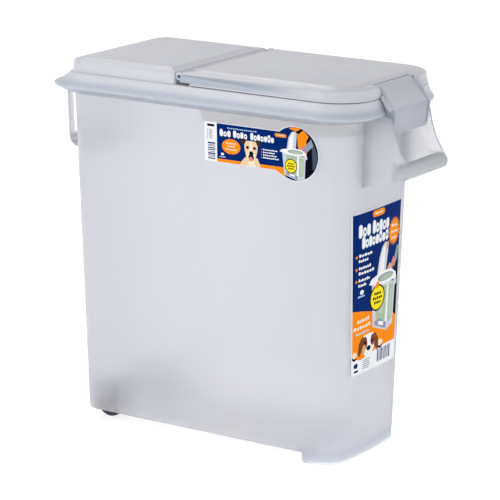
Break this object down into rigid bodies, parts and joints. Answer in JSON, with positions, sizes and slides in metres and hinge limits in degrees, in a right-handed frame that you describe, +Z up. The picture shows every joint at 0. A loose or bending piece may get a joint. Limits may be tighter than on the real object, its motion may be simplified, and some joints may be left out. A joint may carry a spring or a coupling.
{
  "type": "pet food bin",
  "caption": "Tall translucent roll-away pet food bin with a lift-off lid frame, flip door, latch flap, pull handle and rear wheels.",
  "frame": {"origin": "centre of the bin's footprint box on the floor", "axes": "+Z up, +X towards the latch and the pull handle, +Y to the bin's left"},
  "size_m": [0.5124, 0.227, 0.4875],
  "materials": {
    "clear_plastic": "translucent natural white polypropylene, satin",
    "lid_plastic": "milky white polypropylene, satin",
    "seal": "matt olive foam rubber",
    "black_plastic": "moulded, matt",
    "steel": "plain drawn wire",
    "side_print": "printed film, semi-gloss",
    "front_print": "printed film, semi-gloss"
  },
  "bodies": {
    "tub": {"tub": "clear_plastic", "axle": "steel", "axle_cap_left": "black_plastic", "axle_cap_right": "black_plastic", "side_label": "side_print", "front_label": "front_print"},
    "wheel_left": {"wheel_left": "black_plastic"},
    "wheel_right": {"wheel_right": "black_plastic"},
    "lid": {"lid_frame": "lid_plastic", "rim_gasket": "seal", "door_gasket": "seal", "hinge_pin_left": "steel", "hinge_pin_right": "steel"},
    "door": {"door": "lid_plastic", "latch_pin": "steel"},
    "latch": {"latch": "lid_plastic"}
  },
  "joints": [
    {"name": "wheel_left_spin", "type": "hinge", "parent": "tub", "child": "wheel_left", "pos_m": [-0.188, 0.057, 0.0213], "axis": [0, 1, 0], "continuous": true},
    {"name": "wheel_right_spin", "type": "hinge", "parent": "tub", "child": "wheel_right", "pos_m": [-0.188, -0.057, 0.0213], "axis": [0, 1, 0], "continuous": true},
    {"name": "lid_lift", "type": "slide", "parent": "tub", "child": "lid", "axis": [0, 0, 1], "range_m": [0, 0.06]},
    {"name": "door_hinge", "type": "hinge", "parent": "lid", "child": "door", "pos_m": [-0.04275, 0, 0.4805], "axis": [0, -1, 0], "range_deg": [0, 105]},
    {"name": "latch_hinge", "type": "hinge", "parent": "door", "child": "latch", "pos_m": [0.20325, 0, 0.4815], "axis": [0, -1, 0], "range_deg": [0, 100]}
  ]
}
